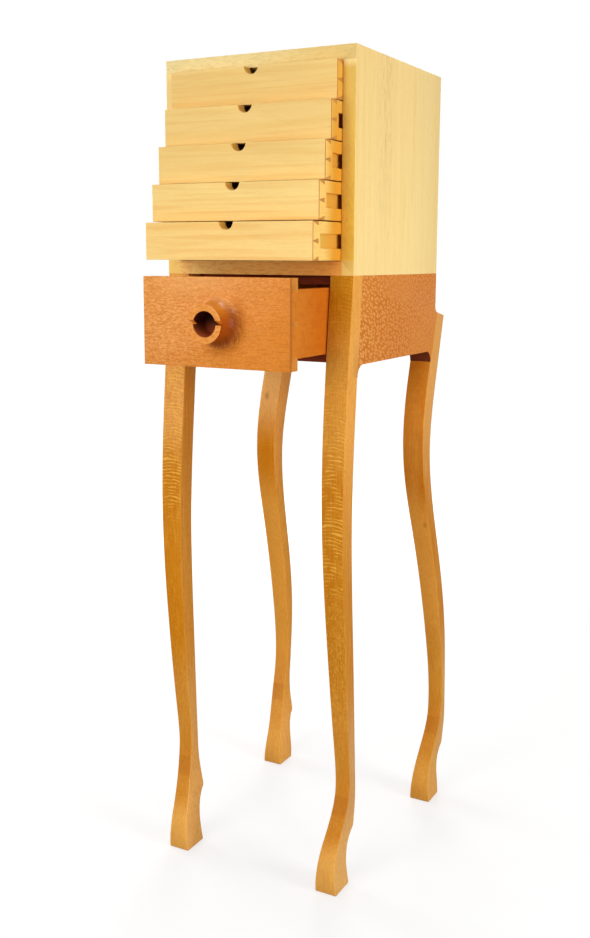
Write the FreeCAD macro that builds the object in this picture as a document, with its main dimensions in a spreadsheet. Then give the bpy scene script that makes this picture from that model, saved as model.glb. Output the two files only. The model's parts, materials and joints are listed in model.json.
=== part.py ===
import FreeCAD
import Part
import Sketcher
import os
import re

# A small chest of five drawers on a four-legged stand that holds one deep drawer.
# Lengths are millimetres. +X is the viewer's right, the front faces -Y, and the floor is Z = 0.
# In the formulas below, Y counts from the front plane of the case and Z from the floor.

DRAWER_COUNT = 5
SCREWS_PER_RUNNER = 2

SIZES = {
    # Where the front plane of the case lies, with the origin under the middle of the whole object.
    "front_plane": -112,
    # Case: four mitred boards and a thin back let into them.
    "case_width": 312,
    "case_depth": 320,
    "case_height": 312,
    "case_board": 20,
    "back_thickness": 8,
    "back_setback": 6,
    "back_tongue": 6,
    # Shallow drawers: each one is drawn out one step further than the one above it.
    "drawer_step": 17.3,
    "drawer_gap": 1.6,
    "drawer_side_gap": 0.5,
    "drawer_back_gap": 8,
    "drawer_front": 18,
    "drawer_side": 12,
    "drawer_back": 12,
    "drawer_bottom": 5,
    "drawer_bottom_lift": 5,
    "drawer_bottom_tongue": 5,
    "drawer_lap": 2.5,
    "drawer_pin_tip": 1,
    "drawer_pin_root": 7.5,
    "drawer_end_pin_tip": 1.2,
    "drawer_end_pin_root": 6.2,
    "notch_radius": 11.5,
    "notch_rise": 0.3,
    # Runners of the shallow drawers, each in a groove that stops short of the drawer's front.
    "runner_depth": 6.5,
    "runner_height": 19.4,
    "runner_clearance": 0.3,
    "runner_end_gap": 4,
    "groove_stop": 23,
    # Countersunk screws.
    "screw_head_radius": 3.5,
    "screw_head_height": 2.5,
    "screw_shank_radius": 1.8,
    "screw_inset": 40,
    "runner_screw_length": 18,
    "case_screw_length": 26,
    # Stand.
    "stand_height": 930,
    "leg_width": 36.5,
    "panel_height": 127,
    "corner_radius": 18,
    "ear_radius": 10,
    "apron_thickness": 20,
    "rail_setback": 34,
    "rail_depth": 28,
    "rail_height": 13.5,
    "strip_width": 16,
    "dowel_radius": 5,
    "dowel_length": 32,
    "fore_dowel_drop": 32,
    "fore_dowel_spacing": 64,
    "hind_dowel_drop": 90,
    "hind_dowel_spacing": 27,
    # Deep drawer.
    "deep_pull": 118,
    "deep_side_gap": 0.9,
    "deep_top_gap": 2,
    "deep_back_gap": 10,
    "deep_front": 23,
    "deep_side": 12,
    "deep_back": 12,
    "deep_bottom": 6,
    "deep_bottom_lift": 6,
    "deep_bottom_tongue": 5,
    "deep_lap": 7,
    "deep_pin_tip": 4,
    "deep_pin_root": 8,
    "deep_end_pin_tip": 2,
    "deep_end_pin_root": 4,
    "deep_overlap_top": 15,
    "deep_overlap_bottom": 16.5,
    "deep_clearance": 0.3,
    # Turned knob.
    "knob_offset": 7,
    "knob_length": 36,
    "knob_base_radius": 36,
    "knob_end_radius": 27,
    "knob_waist_arc": 28,
    "knob_lip": 0.6,
    "knob_bore_radius": 17.5,
    "knob_bore_depth": 30,
    "knob_kerf_rise": 5.5,
    "knob_kerf_drop": 1,
    "knob_kerf_depth": 10,
    "knob_kerf_tip": 0.3,
    "knob_spigot_radius": 8,
    "knob_spigot_length": 14,
    # Front leg, seen from the side. Front and back edges count from the front plane of the case.
    # Its upper stations lie at shares of its shoulder's height, and those of its foot at their own heights.
    "fore_top_back": 30,
    "fore_shoulder_front": -14,
    "fore_shoulder_back": 17.5,
    "fore_knee_share": 0.713,
    "fore_knee_front": -26,
    "fore_knee_back": 5.5,
    "fore_shin_share": 0.465,
    "fore_shin_front": -11.5,
    "fore_shin_back": 16.5,
    "fore_cannon_share": 0.287,
    "fore_cannon_front": 6,
    "fore_cannon_back": 26.5,
    "fore_ankle_height": 158,
    "fore_ankle_front": 11,
    "fore_ankle_back": 31.5,
    "fore_spur_height": 88,
    "fore_spur_front": -9,
    "fore_spur_back": 37.5,
    "fore_pastern_height": 60,
    "fore_pastern_front": -20.5,
    "fore_pastern_back": 19,
    "fore_hoof_height": 28,
    "fore_hoof_front": -27,
    "fore_hoof_back": 17,
    "fore_sole_front": -24.5,
    "fore_sole_back": 20.5,
    # Front leg, seen from the front: how far its outer face stands out past the case, and its width.
    "fore_shin_outset": 0.5,
    "fore_shin_width": 29.5,
    "fore_ankle_outset": -0.5,
    "fore_ankle_width": 24.5,
    "fore_pastern_outset": -7.5,
    "fore_pastern_width": 27.5,
    "fore_sole_outset": -4.5,
    "fore_sole_width": 35.5,
    # Rear leg, seen from the side. Front and back edges count from the rear plane of the case.
    "hind_top_drop": 64,
    "hind_top_fall": 6,
    "hind_top_back": 41,
    "hind_shoulder_front": -16.5,
    "hind_shoulder_back": 20,
    "hind_knee_share": 0.796,
    "hind_knee_front": -48.5,
    "hind_knee_back": -16.5,
    "hind_shin_share": 0.599,
    "hind_shin_front": -10.5,
    "hind_shin_back": 14.5,
    "hind_cannon_share": 0.382,
    "hind_cannon_front": 31.5,
    "hind_cannon_back": 52.5,
    "hind_ankle_height": 158,
    "hind_ankle_front": 37.5,
    "hind_ankle_back": 56,
    "hind_spur_height": 88,
    "hind_spur_front": 13.5,
    "hind_spur_back": 58,
    "hind_pastern_height": 60,
    "hind_pastern_front": 3,
    "hind_pastern_back": 41,
    "hind_hoof_height": 28,
    "hind_hoof_front": -6,
    "hind_hoof_back": 40.5,
    "hind_sole_front": -5,
    "hind_sole_back": 38,
    # Rear leg, seen from the front.
    "hind_shin_outset": 9,
    "hind_shin_width": 33.5,
    "hind_ankle_outset": 15,
    "hind_ankle_width": 25,
    "hind_pastern_outset": 8.5,
    "hind_pastern_width": 27.5,
    "hind_sole_outset": 12.5,
    "hind_sole_width": 36,
}

# Lengths that follow from the sizes above.
DRAWER_PITCH = f"((case_height - 2 * case_board) / {DRAWER_COUNT})"
DRAWER_HEIGHT = f"({DRAWER_PITCH} - drawer_gap)"
DRAWER_WIDTH = "(case_width - 2 * case_board - 2 * drawer_side_gap)"
DRAWER_LENGTH = "(case_depth - back_setback - back_thickness - drawer_back_gap)"
GROOVE_DEPTH = "(runner_depth - drawer_side_gap + runner_clearance)"
BACK_FACE = "(case_depth - back_setback - back_thickness)"
STAND_OPENING = "(case_width - 2 * leg_width)"
DEEP_WIDTH = f"({STAND_OPENING} - 2 * deep_side_gap)"
PANEL_FOOT = "(stand_height - panel_height)"
SHOULDER_HEIGHT = "(stand_height - panel_height - corner_radius)"
DEEP_LENGTH = "(case_depth - apron_thickness - deep_back_gap)"
BOTTOM_RAIL_HEIGHT = "(deep_overlap_bottom - deep_clearance)"

doc = FreeCAD.newDocument("CabinetOnStand")
sheet = doc.addObject("Spreadsheet::Sheet", "Sizes")
for row, (alias, value) in enumerate(SIZES.items(), start=1):
    sheet.set(f"A{row}", str(value))
    sheet.setAlias(f"A{row}", alias)
doc.recompute()

pieces = []


def spell(formula):
    """Write a formula of size names as an expression on the sheet's cells."""
    return re.sub(r"[a-z_]+", lambda word: f"Sizes.{word.group()}", str(formula))


def size(alias):
    return float(getattr(sheet, alias))


def value_of(formula):
    """The present value of a formula."""
    return float(sheet.evalExpression(str(formula)))


def bind(obj, formulas):
    for name, formula in formulas.items():
        obj.setExpression(name, spell(formula))
    return obj


def place(obj, x, y, z):
    """Put an object's corner or centre at X, at Y behind the case's front plane, and at Z over the floor."""
    formulas = {"Placement.Base.x": x, "Placement.Base.y": f"front_plane + {y}", "Placement.Base.z": z}
    return bind(obj, formulas)


def keep(obj):
    """List an object as a finished piece, which is named by its label."""
    pieces.append(obj)
    return obj


def box(name, length, width, height, x, y, z):
    obj = doc.addObject("Part::Box", name)
    bind(obj, {"Length": length, "Width": width, "Height": height})
    return place(obj, x, y, z)


def round_bar(name, radius, length, x, y, z, turn_axis=None, turn=0):
    """A cylinder that stands up, or lies along the way that the turn gives it."""
    obj = doc.addObject("Part::Cylinder", name)
    if turn_axis:
        obj.Placement.Rotation = FreeCAD.Rotation(turn_axis, turn)
    bind(obj, {"Radius": radius, "Height": length})
    return place(obj, x, y, z)


def group(name, members):
    obj = doc.addObject("Part::Compound", name)
    obj.Links = members
    return obj


def cut(name, base, tools):
    obj = doc.addObject("Part::Cut", name)
    obj.Base = base
    obj.Tool = group(f"{name}_cuts", tools) if len(tools) > 1 else tools[0]
    return obj


def fuse(name, members):
    obj = doc.addObject("Part::MultiFuse", name)
    obj.Shapes = members
    obj.Refine = True
    return obj


def mirror(name, source):
    """The left-hand piece that matches a right-hand one."""
    obj = doc.addObject("Part::Mirroring", name)
    obj.Source = source
    obj.Normal = FreeCAD.Vector(1, 0, 0)
    return obj


def add_outline(body, name, plane_role, points, arcs=None):
    """Draw a closed outline whose corners, and the radii of whose arcs, are bound to formulas.

    An arc starts at the corner whose number it has and turns to the left or right on the way to the next.
    """
    sketch = body.newObject("Sketcher::SketchObject", name)
    plane = next(item for item in body.Origin.OriginFeatures if item.Role == plane_role)
    sketch.AttachmentSupport = [(plane, "")]
    sketch.MapMode = "FlatFace"
    corners = [FreeCAD.Vector(value_of(across), value_of(up), 0) for across, up in points]
    arcs = arcs or {}
    ends = []
    for number, start in enumerate(corners):
        stop = corners[(number + 1) % len(corners)]
        if number in arcs:
            radius, turns_left = arcs[number]
            curve = arc_between(start, stop, value_of(radius), turns_left)
            index = sketch.addGeometry(curve, False)
            ends.append((index, 1, 2) if turns_left else (index, 2, 1))
            constraint = sketch.addConstraint(Sketcher.Constraint("Radius", index, value_of(radius)))
            sketch.setExpression(f"Constraints[{constraint}]", spell(radius))
        else:
            index = sketch.addGeometry(Part.LineSegment(start, stop), False)
            ends.append((index, 1, 2))
    for number, (index, first, last) in enumerate(ends):
        following, following_first, following_last = ends[(number + 1) % len(ends)]
        sketch.addConstraint(Sketcher.Constraint("Coincident", index, last, following, following_first))
    for number, (index, first, last) in enumerate(ends):
        for kind, formula in zip(("DistanceX", "DistanceY"), points[number]):
            fixed = Sketcher.Constraint(kind, -1, 1, index, first, value_of(formula))
            constraint = sketch.addConstraint(fixed)
            sketch.setExpression(f"Constraints[{constraint}]", spell(formula))
    return sketch


def arc_between(start, stop, radius, turns_left):
    """The shorter arc of a radius from one point to another."""
    chord = stop - start
    half = chord.Length / 2
    side = FreeCAD.Vector(-chord.y, chord.x, 0).normalize()
    reach = max(radius * radius - half * half, 0) ** 0.5
    centre = start + chord * 0.5 + side * (reach if turns_left else -reach)
    circle = Part.Circle(centre, FreeCAD.Vector(0, 0, 1), radius)
    first, last = (start, stop) if turns_left else (stop, start)
    return Part.ArcOfCircle(circle, circle.parameter(first), circle.parameter(last))


def prism(name, plane_role, points, thickness, x, y, z, arcs=None, backwards=False):
    """A board sawn to an outline."""
    body = doc.addObject("PartDesign::Body", name)
    sketch = add_outline(body, f"{name}_outline", plane_role, points, arcs)
    pad = body.newObject("PartDesign::Pad", f"{name}_pad")
    pad.Profile = sketch
    pad.Reversed = backwards
    bind(pad, {"Length": thickness})
    return place(body, x, y, z)


# Countersunk screws stand with the head at the start and the point at the end of a turned axis.
X_AXIS = FreeCAD.Vector(1, 0, 0)
Y_AXIS = FreeCAD.Vector(0, 1, 0)
ALONG_Y = (X_AXIS, -90)
ALONG_X = (Y_AXIS, 90)


def screw(name, length, x, y, z, turn_axis=None, turn=0):
    head = doc.addObject("Part::Cone", f"{name}_head")
    if turn_axis:
        head.Placement.Rotation = FreeCAD.Rotation(turn_axis, turn)
    bind(head, {"Radius1": "screw_head_radius", "Radius2": "screw_shank_radius",
                "Height": "screw_head_height"})
    place(head, x, y, z)
    shank = round_bar(f"{name}_shank", "screw_shank_radius", length, x, y, z, turn_axis, turn)
    return fuse(name, [head, shank])


# The back panel of the case goes into grooves, so it is also what cuts them.
case_back = keep(box(
    "case_back",
    "case_width - 2 * case_board + 2 * back_tongue",
    "back_thickness",
    "case_height - 2 * case_board + 2 * back_tongue",
    "-(case_width / 2 - case_board + back_tongue)",
    BACK_FACE,
    "stand_height + case_board - back_tongue"))

# Runners of the shallow drawers, screwed to the right side of the case. The left ones mirror them.
RUNNER_START = "(groove_stop + runner_clearance)"
RUNNER_LENGTH = f"({BACK_FACE} - runner_end_gap - {RUNNER_START})"
RUNNER_FACE = "(case_width / 2 - case_board - runner_depth)"


def drawer_floor(number):
    """Height of a shallow drawer's lower edge. Number 1 is the top drawer."""
    return f"(stand_height + case_height - case_board - {number} * {DRAWER_PITCH} + drawer_gap / 2)"


runner_blanks = []
right_runner_screws = []
for number in range(1, DRAWER_COUNT + 1):
    middle = f"({drawer_floor(number)} + {DRAWER_HEIGHT} / 2)"
    runner_blanks.append(box(
        f"runner_{number}", "runner_depth", RUNNER_LENGTH, "runner_height",
        RUNNER_FACE, RUNNER_START, f"{middle} - runner_height / 2"))
    for place_number in range(SCREWS_PER_RUNNER):
        share = place_number / (SCREWS_PER_RUNNER - 1)
        right_runner_screws.append(screw(
            f"runner_screw_{number}_{place_number}", "runner_screw_length", RUNNER_FACE,
            f"{RUNNER_START} + screw_inset + {share} * ({RUNNER_LENGTH} - 2 * screw_inset)",
            middle, *ALONG_X))
right_screws = group("right_runner_screws", right_runner_screws)
left_screws = mirror("left_runner_screws", right_screws)
keep(group("runner_screws", [right_screws, left_screws]))
right_runners = keep(cut("right_drawer_runners", group("runner_blanks", runner_blanks), [right_screws]))
keep(mirror("left_drawer_runners", right_runners))

# Strips of the stand, over and under the deep drawer's sides, and the screws that hold the case down.
STRIP_FACE = "(case_width / 2 - leg_width - strip_width)"
STRIP_START = "(rail_setback + rail_depth)"
STRIP_LENGTH = f"(case_depth - apron_thickness - {STRIP_START})"
KICKER_FOOT = "(stand_height - rail_height)"
right_case_screws = []
for share in (0, 1):
    right_case_screws.append(screw(
        f"case_screw_{share}", "case_screw_length", f"{STRIP_FACE} + strip_width / 2",
        f"{STRIP_START} + screw_inset + {share} * ({STRIP_LENGTH} - 2 * screw_inset)", KICKER_FOOT))
right_hold_downs = group("right_case_screws", right_case_screws)
left_hold_downs = mirror("left_case_screws", right_hold_downs)
case_screws = keep(group("case_screws", [right_hold_downs, left_hold_downs]))

kicker_blank = box("kicker_blank", "strip_width", STRIP_LENGTH, "rail_height",
                   STRIP_FACE, STRIP_START, KICKER_FOOT)
right_kicker = keep(cut("right_kicker", kicker_blank, [right_hold_downs]))
keep(mirror("left_kicker", right_kicker))
right_runner = keep(box("right_runner", "strip_width", STRIP_LENGTH, BOTTOM_RAIL_HEIGHT,
                        STRIP_FACE, STRIP_START, PANEL_FOOT))
keep(mirror("left_runner", right_runner))
keep(box("top_front_rail", STAND_OPENING, "rail_depth", "rail_height",
         f"-{STAND_OPENING} / 2", "rail_setback", KICKER_FOOT))
keep(box("bottom_front_rail", STAND_OPENING, "rail_depth", BOTTOM_RAIL_HEIGHT,
         f"-{STAND_OPENING} / 2", "rail_setback", PANEL_FOOT))
keep(box("back_apron", STAND_OPENING, "apron_thickness", "panel_height",
         f"-{STAND_OPENING} / 2", "case_depth - apron_thickness", PANEL_FOOT))

# Case boards, mitred at their ends. Each outline is drawn as seen from the front.
CASE_TOP = "(stand_height + case_height)"
INNER_TOP = "(stand_height + case_height - case_board)"
INNER_FOOT = "(stand_height + case_board)"
OUTER = "(case_width / 2)"
INNER = "(case_width / 2 - case_board)"
top_blank = prism(
    "case_top_blank", "XZ_Plane",
    [(f"-{OUTER}", CASE_TOP), (f"-{INNER}", INNER_TOP), (INNER, INNER_TOP), (OUTER, CASE_TOP)],
    "case_depth", "0", "0", "0", backwards=True)
bottom_blank = prism(
    "case_bottom_blank", "XZ_Plane",
    [(f"-{OUTER}", "stand_height"), (OUTER, "stand_height"), (INNER, INNER_FOOT), (f"-{INNER}", INNER_FOOT)],
    "case_depth", "0", "0", "0", backwards=True)
side_blank = prism(
    "case_side_blank", "XZ_Plane",
    [(OUTER, "stand_height"), (OUTER, CASE_TOP), (INNER, INNER_TOP), (INNER, INNER_FOOT)],
    "case_depth", "0", "0", "0", backwards=True)
keep(cut("case_top", top_blank, [case_back]))
keep(cut("case_bottom", bottom_blank, [case_back, case_screws]))
case_right_side = keep(cut("case_right_side", side_blank, [case_back, right_screws]))
keep(mirror("case_left_side", case_right_side))


def drawer(name, kind, front_y, floor_z, width, length, box_height, front_z, front_height,
           front_cuts, side_cuts):
    """A drawer with half-blind dovetails: the tails of the sides fill sockets in the front.

    The bottom lies in grooves, so it is also what cuts them. The sizes are those whose names start with kind.
    """
    thick = f"{kind}_front"
    side = f"{kind}_side"
    tail_length = f"({kind}_front - {kind}_lap)"
    inner_width = f"({width} - 2 * {side})"
    side_x = f"({width} / 2 - {side})"

    half_pin = (f"{kind}_end_pin_tip", f"{kind}_end_pin_root")
    whole_pin = (f"{kind}_pin_tip / 2", f"{kind}_pin_root / 2")
    pins = []
    for height_share, (tip, root) in ((0, half_pin), (0.5, whole_pin), (1, half_pin)):
        pin = doc.addObject("Part::Wedge", f"{name}_pin")
        centre = f"{height_share} * {box_height}"
        bind(pin, {
            "Xmin": "0", "X2min": "0", "Xmax": side, "X2max": side, "Ymin": "0", "Ymax": tail_length,
            "Zmin": f"{centre} - {tip}", "Zmax": f"{centre} + {tip}",
            "Z2min": f"{centre} - {root}", "Z2max": f"{centre} + {root}"})
        pins.append(place(pin, side_x, f"{front_y} + {kind}_lap", floor_z))
    socket = box(f"{name}_socket", side, tail_length, box_height,
                 side_x, f"{front_y} + {kind}_lap", floor_z)
    right_tails = cut(f"{name}_right_tails", socket, pins)
    left_tails = mirror(f"{name}_left_tails", right_tails)

    bottom = keep(box(
        f"{name}_bottom", f"{inner_width} + 2 * {kind}_bottom_tongue",
        f"{length} - {thick} + {kind}_bottom_tongue", f"{kind}_bottom",
        f"-({inner_width} / 2 + {kind}_bottom_tongue)",
        f"{front_y} + {thick} - {kind}_bottom_tongue", f"{floor_z} + {kind}_bottom_lift"))
    keep(box(
        f"{name}_back", inner_width, f"{kind}_back",
        f"{box_height} - {kind}_bottom_lift - {kind}_bottom",
        f"-{inner_width} / 2", f"{front_y} + {length} - {kind}_back",
        f"{floor_z} + {kind}_bottom_lift + {kind}_bottom"))
    side_board = box(f"{name}_side_board", side, f"{length} - {thick}", box_height,
                     side_x, f"{front_y} + {thick}", floor_z)
    side_blank = fuse(f"{name}_side_blank", [side_board, right_tails])
    right_side = keep(cut(f"{name}_right_side", side_blank, [bottom] + side_cuts))
    keep(mirror(f"{name}_left_side", right_side))
    front_blank = box(f"{name}_front_blank", width, thick, front_height, f"-{width} / 2", front_y, front_z)
    return keep(cut(f"{name}_front", front_blank, [right_tails, left_tails, bottom] + front_cuts))


# Shallow drawers: a half-round finger notch in each front, and a stopped groove in each side.
for number in range(1, DRAWER_COUNT + 1):
    name = f"drawer_{number}"
    front_y = f"(-{number} * drawer_step)"
    floor_z = drawer_floor(number)
    notch = round_bar(f"{name}_notch", "notch_radius", "drawer_front", "0", front_y,
                      f"{floor_z} + {DRAWER_HEIGHT} + notch_rise", *ALONG_Y)
    groove_height = "(runner_height + 2 * runner_clearance)"
    groove = box(f"{name}_groove", GROOVE_DEPTH, f"{DRAWER_LENGTH} - groove_stop", groove_height,
                 f"{DRAWER_WIDTH} / 2 - {GROOVE_DEPTH}", f"{front_y} + groove_stop",
                 f"{floor_z} + {DRAWER_HEIGHT} / 2 - {groove_height} / 2")
    drawer(name, "drawer", front_y, floor_z, DRAWER_WIDTH, DRAWER_LENGTH, DRAWER_HEIGHT,
           floor_z, DRAWER_HEIGHT, [notch], [groove])

# Deep drawer: its front is taller than its box and hides the rails.
DEEP_Y = "(-deep_pull)"
DEEP_FRONT_HEIGHT = "(panel_height - deep_top_gap)"
DEEP_BOX_HEIGHT = f"({DEEP_FRONT_HEIGHT} - deep_overlap_top - deep_overlap_bottom)"
KNOB_HEIGHT = f"({PANEL_FOOT} + {DEEP_FRONT_HEIGHT} / 2)"
spigot_hole = round_bar("knob_spigot_hole", "knob_spigot_radius", "knob_spigot_length",
                        "knob_offset", DEEP_Y, KNOB_HEIGHT, *ALONG_Y)
drawer("deep_drawer", "deep", DEEP_Y, f"({PANEL_FOOT} + deep_overlap_bottom)", DEEP_WIDTH, DEEP_LENGTH,
       DEEP_BOX_HEIGHT, PANEL_FOOT, DEEP_FRONT_HEIGHT, [spigot_hole], [])

# Knob: turned to a waisted profile, bored from its end, and notched across it.
knob_turned = doc.addObject("PartDesign::Body", "knob_turned")
knob_profile = add_outline(
    knob_turned, "knob_profile", "XY_Plane",
    [("0", "knob_spigot_length"), ("0", "-knob_length"), ("knob_end_radius", "-knob_length"),
     ("knob_base_radius", "-knob_lip"), ("knob_base_radius", "0"), ("knob_spigot_radius", "0"),
     ("knob_spigot_radius", "knob_spigot_length")],
    {2: ("knob_waist_arc", False)})
knob_turning = knob_turned.newObject("PartDesign::Revolution", "knob_turning")
knob_turning.Profile = knob_profile
knob_turning.ReferenceAxis = (knob_profile, ["V_Axis"])
knob_turning.Angle = 360
place(knob_turned, "knob_offset", DEEP_Y, KNOB_HEIGHT)
knob_end = f"({DEEP_Y} - knob_length)"
bore = round_bar("knob_bore", "knob_bore_radius", "knob_bore_depth", "knob_offset", knob_end,
                 KNOB_HEIGHT, *ALONG_Y)
kerf = doc.addObject("Part::Wedge", "knob_kerf")
bind(kerf, {
    "Xmin": "-knob_base_radius", "X2min": "-knob_base_radius",
    "Xmax": "knob_base_radius", "X2max": "knob_base_radius", "Ymin": "0", "Ymax": "knob_kerf_depth",
    "Zmin": "-knob_kerf_drop", "Zmax": "knob_kerf_rise",
    "Z2min": "-knob_kerf_tip / 2", "Z2max": "knob_kerf_tip / 2"})
place(kerf, "knob_offset", knob_end, KNOB_HEIGHT)
keep(cut("deep_drawer_knob", knob_turned, [bore, kerf]))

# Side panels of the stand. Their ends follow the straight upper parts of the legs.
EAR_Y = "(case_depth + ear_radius)"
HIND_TOP = "(stand_height - hind_top_drop)"
HIND_SHOULDER_Y = "(case_depth + hind_shoulder_front)"
panel_blank = prism(
    "side_panel_blank", "YZ_Plane",
    [("fore_top_back", "stand_height"),
     ("fore_shoulder_back", SHOULDER_HEIGHT),
     ("fore_shoulder_back + corner_radius", PANEL_FOOT),
     (f"{HIND_SHOULDER_Y} - corner_radius", PANEL_FOOT),
     (HIND_SHOULDER_Y, SHOULDER_HEIGHT),
     (EAR_Y, HIND_TOP),
     ("case_depth", f"{HIND_TOP} + ear_radius"),
     ("case_depth", "stand_height")],
    "leg_width", "case_width / 2 - leg_width", "0", "0",
    {1: ("corner_radius", False), 3: ("corner_radius", False), 5: ("ear_radius", False)})


def curve_through(points, first_way):
    """A smooth curve through points, which leaves the first one the way that is given."""
    curve = Part.BSplineCurve()
    ways = [first_way] + [FreeCAD.Vector(0, 0, -1)] * (len(points) - 1)
    curve.interpolate(Points=points, Tangents=ways, TangentFlags=[True] + [False] * (len(points) - 1))
    return curve.toShape()


def edge_run(points):
    """A leg's long edge: straight from its top to its shoulder, and then a smooth curve."""
    straight = Part.LineSegment(points[0], points[1]).toShape()
    return [straight, curve_through(points[1:], (points[1] - points[0]).normalize())]


def station_height(kind, station):
    """Height of a leg's station over the floor."""
    if station == "sole":
        return 0
    if station in ("knee", "shin", "cannon"):
        return size(f"{kind}_{station}_share") * value_of(SHOULDER_HEIGHT)
    return size(f"{kind}_{station}_height")


def side_face(kind, base_y, top_front, top_back):
    """A leg's outline from the side, with a sharp spur at the back of the ankle."""
    shoulder = value_of(SHOULDER_HEIGHT)
    to_spur = ["knee", "shin", "cannon", "ankle", "spur"]
    below_spur = ["pastern", "hoof", "sole"]

    def points(edge, stations):
        return [FreeCAD.Vector(0, base_y + size(f"{kind}_{station}_{edge}"), station_height(kind, station))
                for station in stations]

    def shoulder_point(edge):
        return FreeCAD.Vector(0, base_y + size(f"{kind}_shoulder_{edge}"), shoulder)

    front_points = [top_front, shoulder_point("front")] + points("front", to_spur + below_spur)
    back_points = [top_back, shoulder_point("back")] + points("back", to_spur)
    heel_points = points("back", ["spur"] + below_spur)
    heel = Part.BSplineCurve()
    heel.interpolate(Points=heel_points)
    sole = Part.LineSegment(heel_points[-1], front_points[-1]).toShape()
    top = Part.LineSegment(top_front, top_back).toShape()
    edges = edge_run(front_points) + edge_run(back_points) + [heel.toShape(), sole, top]
    return Part.Face(Part.Wire(Part.__sortEdges__(edges)))


def front_face(kind, crown):
    """A leg's outline from the front: as wide as the panel at its shoulder, thin at its ankle."""
    outer = size("case_width") / 2
    shoulder = value_of(SHOULDER_HEIGHT)
    edges = []
    ends = []
    for share in (0, 1):
        top_x = outer - share * size("leg_width")
        points = [FreeCAD.Vector(top_x, 0, crown), FreeCAD.Vector(top_x, 0, shoulder)]
        for station in ("shin", "ankle", "pastern", "sole"):
            edge_x = outer + size(f"{kind}_{station}_outset") - share * size(f"{kind}_{station}_width")
            points.append(FreeCAD.Vector(edge_x, 0, station_height(kind, station)))
        upper = edge_run(points[:4])
        foot = curve_through(points[3:], upper[-1].tangentAt(upper[-1].LastParameter))
        edges += upper + [foot]
        ends.append((points[0], points[-1]))
    for outer_end, inner_end in zip(*ends):
        edges.append(Part.LineSegment(outer_end, inner_end).toShape())
    return Part.Face(Part.Wire(Part.__sortEdges__(edges)))


def leg(name, kind, base_y, top_front, top_back):
    """A leg sawn to one outline from the side and to another from the front."""
    profile = side_face(kind, base_y, top_front, top_back)
    bounds = profile.BoundBox
    from_side = profile.extrude(FreeCAD.Vector(size("case_width"), 0, 0))
    outline = front_face(kind, top_front.z)
    outline.translate(FreeCAD.Vector(0, bounds.YMin, 0))
    from_front = outline.extrude(FreeCAD.Vector(0, bounds.YLength, 0))
    obj = doc.addObject("Part::Feature", name)
    obj.Shape = from_side.common(from_front)
    obj.Placement = FreeCAD.Placement(FreeCAD.Vector(0, size("front_plane"), 0), FreeCAD.Rotation())
    return obj


def at(y, z):
    return FreeCAD.Vector(0, y, z)


stand_height = size("stand_height")
hind_top = value_of(HIND_TOP)
case_rear = size("case_depth")
fore_blank = leg("fore_leg_blank", "fore", 0, at(0, stand_height), at(size("fore_top_back"), stand_height))
hind_blank = leg("hind_leg_blank", "hind", case_rear, at(value_of(EAR_Y), hind_top),
                 at(case_rear + size("hind_top_back"), hind_top - size("hind_top_fall")))

# Dowels lie across the glued faces between the panels and the legs, half in each.
LEG_MIDDLE = "(case_width / 2 - leg_width / 2)"
fore_dowels = []
hind_dowels = []
for count in (0, 1):
    drop = f"(fore_dowel_drop + {count} * fore_dowel_spacing)"
    lean = f"(fore_top_back - fore_shoulder_back) / ({SHOULDER_HEIGHT} - stand_height)"
    joint = f"(fore_top_back + {lean} * {drop})"
    fore_dowels.append(round_bar(f"fore_dowel_{count}", "dowel_radius", "dowel_length", LEG_MIDDLE,
                                 f"{joint} - dowel_length / 2", f"stand_height - {drop}", *ALONG_Y))
    drop = f"(hind_dowel_drop + {count} * hind_dowel_spacing)"
    lean = f"({EAR_Y} - {HIND_SHOULDER_Y}) / ({SHOULDER_HEIGHT} - {HIND_TOP})"
    joint = f"({EAR_Y} + {lean} * ({drop} - hind_top_drop))"
    hind_dowels.append(round_bar(f"hind_dowel_{count}", "dowel_radius", "dowel_length", LEG_MIDDLE,
                                 f"{joint} - dowel_length / 2", f"stand_height - {drop}", *ALONG_Y))
right_dowels = group("right_leg_dowels", fore_dowels + hind_dowels)
left_dowels = mirror("left_leg_dowels", right_dowels)
keep(group("leg_dowels", [right_dowels, left_dowels]))
right_panel = keep(cut("right_side_panel", panel_blank, [right_dowels]))
keep(mirror("left_side_panel", right_panel))
right_front_leg = keep(cut("front_right_leg", fore_blank, [right_dowels]))
keep(mirror("front_left_leg", right_front_leg))
right_rear_leg = keep(cut("rear_right_leg", hind_blank, [right_dowels]))
keep(mirror("rear_left_leg", right_rear_leg))

doc.recompute()

faults = [obj.Label for obj in doc.Objects if "Invalid" in obj.State or "Error" in obj.State]
faults += [piece.Label for piece in pieces if piece.Shape.isNull() or not piece.Shape.isValid()]
if faults:
    raise RuntimeError(f"These objects failed: {faults}")

os.makedirs("parts", exist_ok=True)
for piece in pieces:
    piece.Shape.exportStep(f"parts/{piece.Label}.step")
    print(f"{piece.Label}: {len(piece.Shape.Solids)} solids, {piece.Shape.Volume / 1000:.1f} cm3")
print(f"{len(pieces)} pieces")
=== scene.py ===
# %% [markdown]
# # A small chest of drawers on a stand
# The object is a pale case of five dovetailed drawers on a stand of figured timber with curved legs.
# The solids arrive at their real size and place, in metres, so nothing here is fitted by eye.

# %% Load the frame
import json
import math

import bmesh
import bpy
from mathutils import Matrix, Vector

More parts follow.
